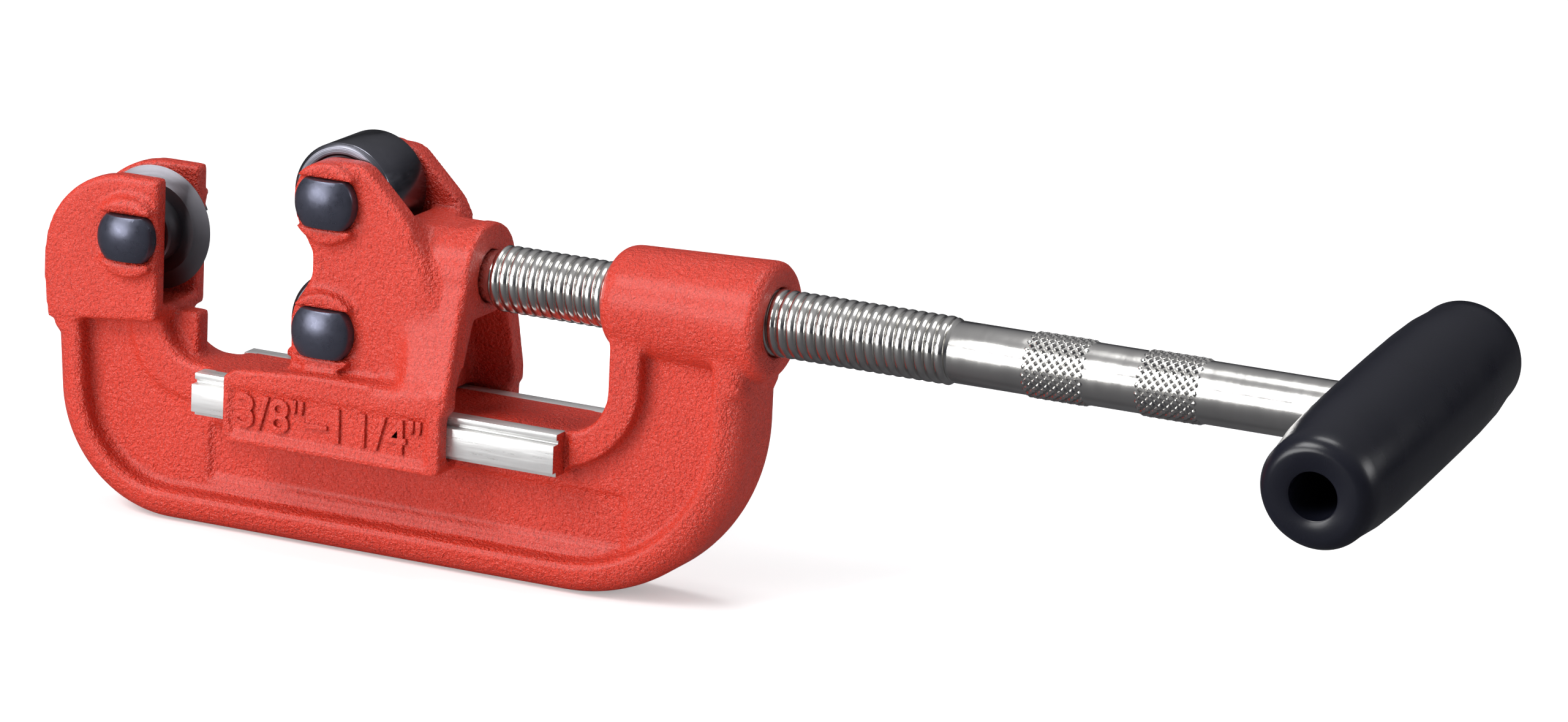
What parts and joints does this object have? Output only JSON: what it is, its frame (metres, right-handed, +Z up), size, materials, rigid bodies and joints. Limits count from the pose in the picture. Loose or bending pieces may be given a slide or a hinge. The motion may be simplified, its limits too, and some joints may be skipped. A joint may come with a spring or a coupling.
{
  "type": "pipe cutter",
  "caption": "Hand pipe cutter: cast C-frame with a cutting wheel, sliding carriage with two rollers, threaded spindle and barrel T-grip.",
  "frame": {"origin": "on the spindle axis, 1.1 mm above the centre of the cutting wheel, at the jaw's fixed side", "axes": "+X along the spindle towards the grip, +Z up from the base to the open side of the jaw, +Y to the far side"},
  "size_m": [0.2873, 0.081, 0.0804],
  "materials": {
    "red_paint": "fine hammer texture on a casting",
    "black_steel": "blackened",
    "spring_steel": "plain",
    "tool_steel": "turned and oiled",
    "nickel_plate": "bright plated",
    "black_grip": "moulded, half gloss"
  },
  "bodies": {
    "frame": {"frame": "red_paint", "cutter_pin": "black_steel", "cutter_pin_clip": "spring_steel"},
    "cutting_wheel": {"cutter_wheel": "tool_steel"},
    "slider": {"slider": "red_paint", "roller_pin_upper": "black_steel", "roller_pin_lower": "black_steel", "roller_pin_clips": "spring_steel", "thrust_disc": "spring_steel", "keeper_pin": "spring_steel"},
    "upper_roller": {"roller_upper": "tool_steel"},
    "lower_roller": {"roller_lower": "tool_steel"},
    "spindle": {"spindle": "nickel_plate", "handle_grip": "black_grip"}
  },
  "joints": [
    {"name": "slider_slide", "type": "slide", "parent": "frame", "child": "slider", "axis": [1, 0, 0], "range_m": [-0.01, 0.02]},
    {"name": "spindle_turn", "type": "hinge", "parent": "slider", "child": "spindle", "pos_m": [0.256, 0, 0], "axis": [1, 0, 0], "range_deg": [-1801, 3601]},
    {"name": "wheel_spin", "type": "hinge", "parent": "frame", "child": "cutting_wheel", "pos_m": [0, 0, -0.0011], "axis": [0, 1, 0], "continuous": true},
    {"name": "upper_roller_spin", "type": "hinge", "parent": "slider", "child": "upper_roller", "pos_m": [0.045, 0, 0.01265], "axis": [0, 1, 0], "continuous": true},
    {"name": "lower_roller_spin", "type": "hinge", "parent": "slider", "child": "lower_roller", "pos_m": [0.045, 0, -0.01265], "axis": [0, 1, 0], "continuous": true}
  ],
  "couplings": [
    {"joint": "spindle_turn", "follows": "slider_slide", "rad_per_m": 3141.6}
  ]
}
